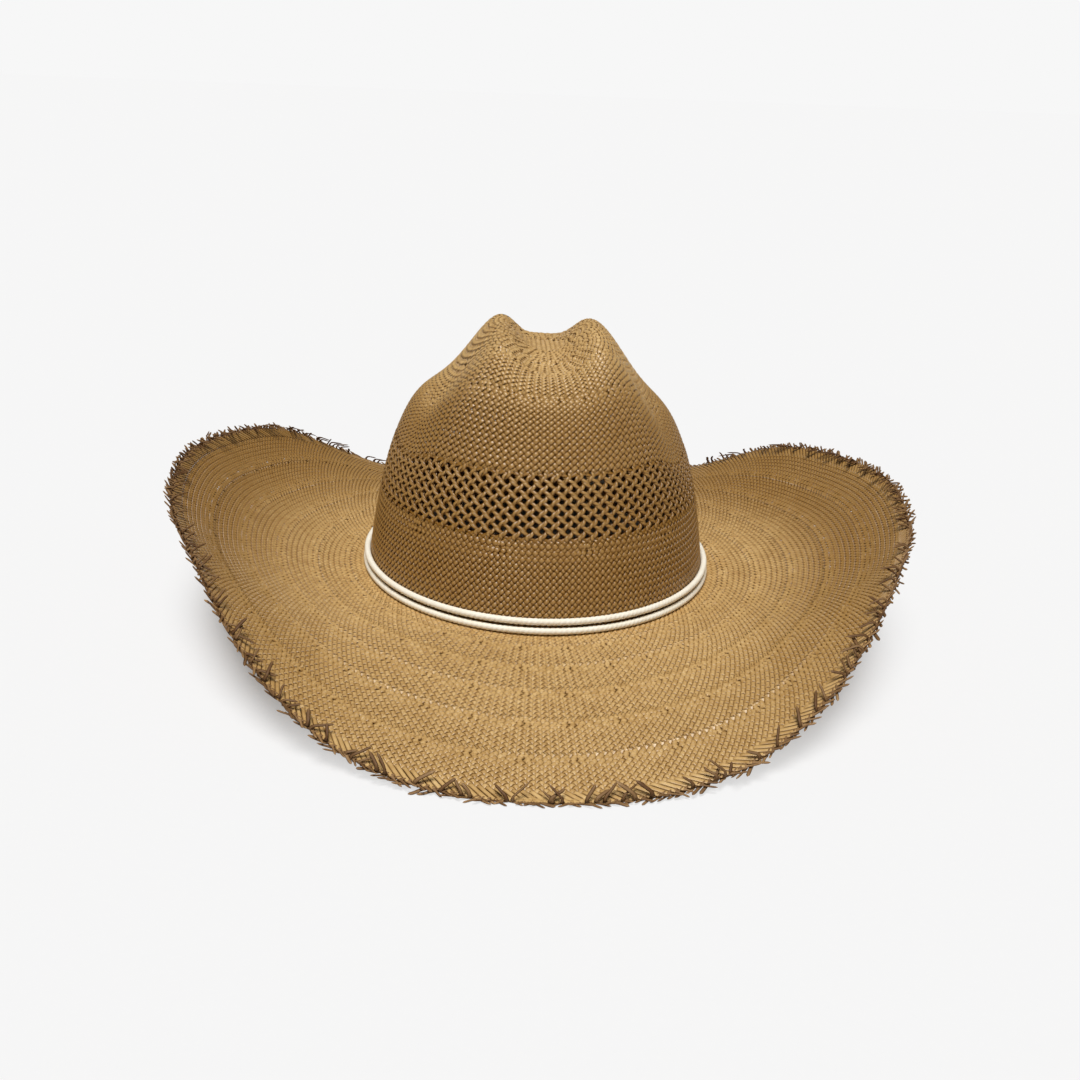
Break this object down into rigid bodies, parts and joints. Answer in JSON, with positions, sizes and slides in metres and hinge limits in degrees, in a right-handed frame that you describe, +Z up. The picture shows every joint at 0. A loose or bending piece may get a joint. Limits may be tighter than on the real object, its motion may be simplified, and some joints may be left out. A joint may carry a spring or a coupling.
{
  "type": "cowboy hat",
  "caption": "Woven straw cowboy hat with a creased crown, vented band, rolled brim with a frayed edge, cord hatband and leather sweatband, worn against sun.",
  "frame": {"origin": "on the table under the middle of the hat, at the height of the front and rear lips of the brim", "axes": "+Z up, -Y towards the front of the hat, +X towards the left side of someone wearing it"},
  "size_m": [0.3902, 0.4734, 0.1504],
  "materials": {
    "straw": "woven palm straw, satin",
    "straw_dark": "raw straw ends, darker, satin",
    "ivory_cord": "smooth braided cord",
    "leather": "smooth sweatband leather",
    "reed_cotton": "cotton welt cord",
    "thread": "sewing thread",
    "ribbon": "ribbed ribbon",
    "tag_paper": "blank woven tag"
  },
  "bodies": {
    "hat": {"crown": "straw", "brim": "straw", "brim_edge_weft": "straw_dark", "frayed_fringe": "straw_dark", "sweatband": "leather", "sweatband_reed": "reed_cotton", "sweatband_thread": "thread", "sweatband_bow": "ribbon", "size_tag": "tag_paper"},
    "hatband": {"hatband_upper_cord": "ivory_cord", "hatband_lower_cord": "ivory_cord", "hatband_keeper": "ivory_cord"}
  },
  "joints": [
    {"name": "hatband_lift", "type": "slide", "parent": "hat", "child": "hatband", "axis": [0, 0, 1], "range_m": [0, 0.16]}
  ]
}
